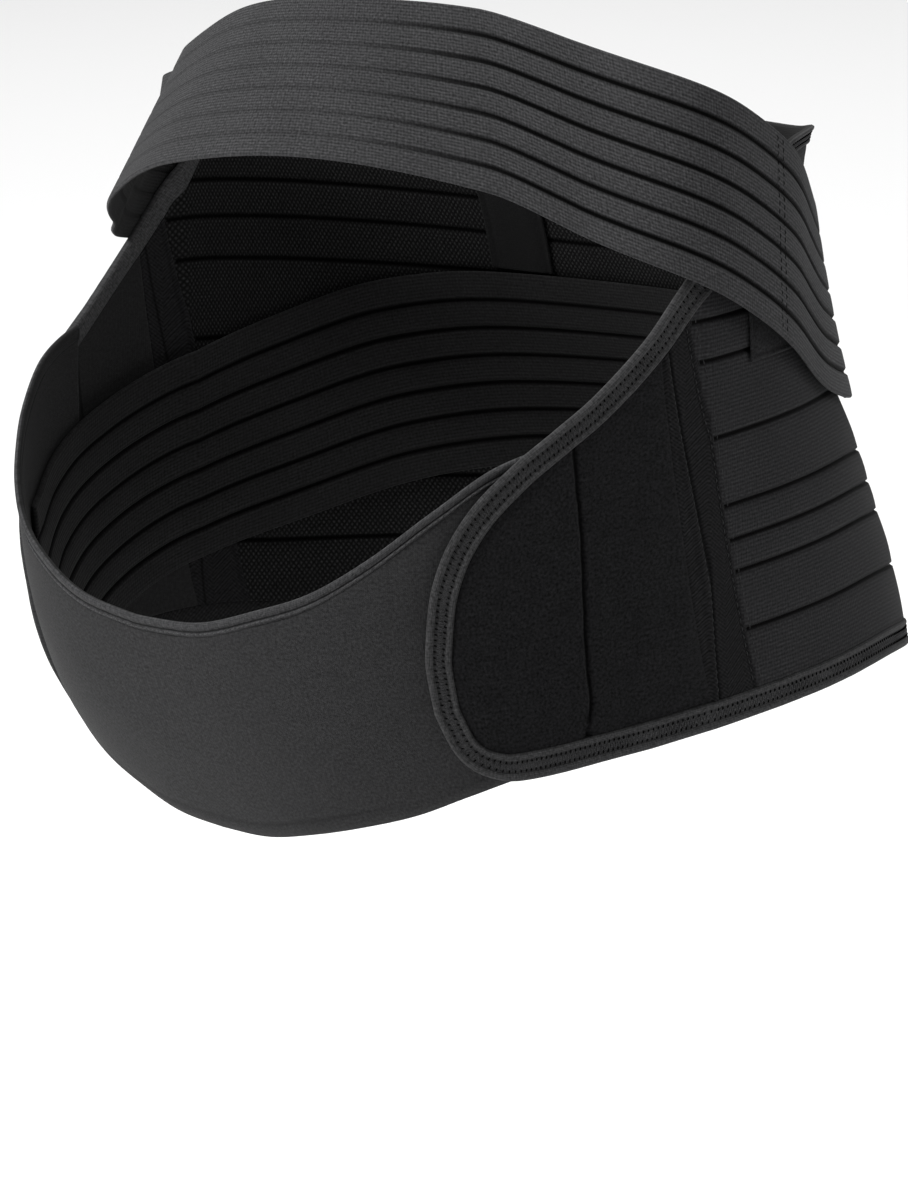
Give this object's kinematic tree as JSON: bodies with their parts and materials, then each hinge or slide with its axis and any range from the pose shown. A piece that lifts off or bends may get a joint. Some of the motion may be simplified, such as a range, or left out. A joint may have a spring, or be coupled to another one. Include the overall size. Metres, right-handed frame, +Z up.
{
  "type": "maternity support belt",
  "caption": "Closed black maternity support belt with a tall elastic back panel, wrap-round wings, a belly cradle and a ribbed band over the belly.",
  "frame": {"origin": "middle of the body space, level with the hem at the hips", "axes": "+Z up along the body, -Y towards the wearer's front, +X towards the wearer's left"},
  "size_m": [0.3468, 0.346, 0.3262],
  "materials": {
    "plush": "brushed loop plush, matt",
    "smooth": "smooth knitted face over thin padding, soft sheen",
    "elastic": "woven elastic strips, matt, with dark grooves between them",
    "ribbed": "fine ribbed elastic, matt",
    "twill": "twill tape, matt, with stitching"
  },
  "bodies": {
    "root": {"back_panel": "elastic", "side_tape_left": "twill", "side_tape_right": "twill", "wing_left": "plush", "wing_right": "plush", "edge_binding": "twill", "front_panel": "smooth", "front_binding": "smooth", "belly_band": "ribbed", "lumbar_band": "ribbed", "casing_left": "twill", "casing_right": "twill", "loop_patch_left": "plush", "loop_patch_right": "plush"}
  },
  "joints": []
}
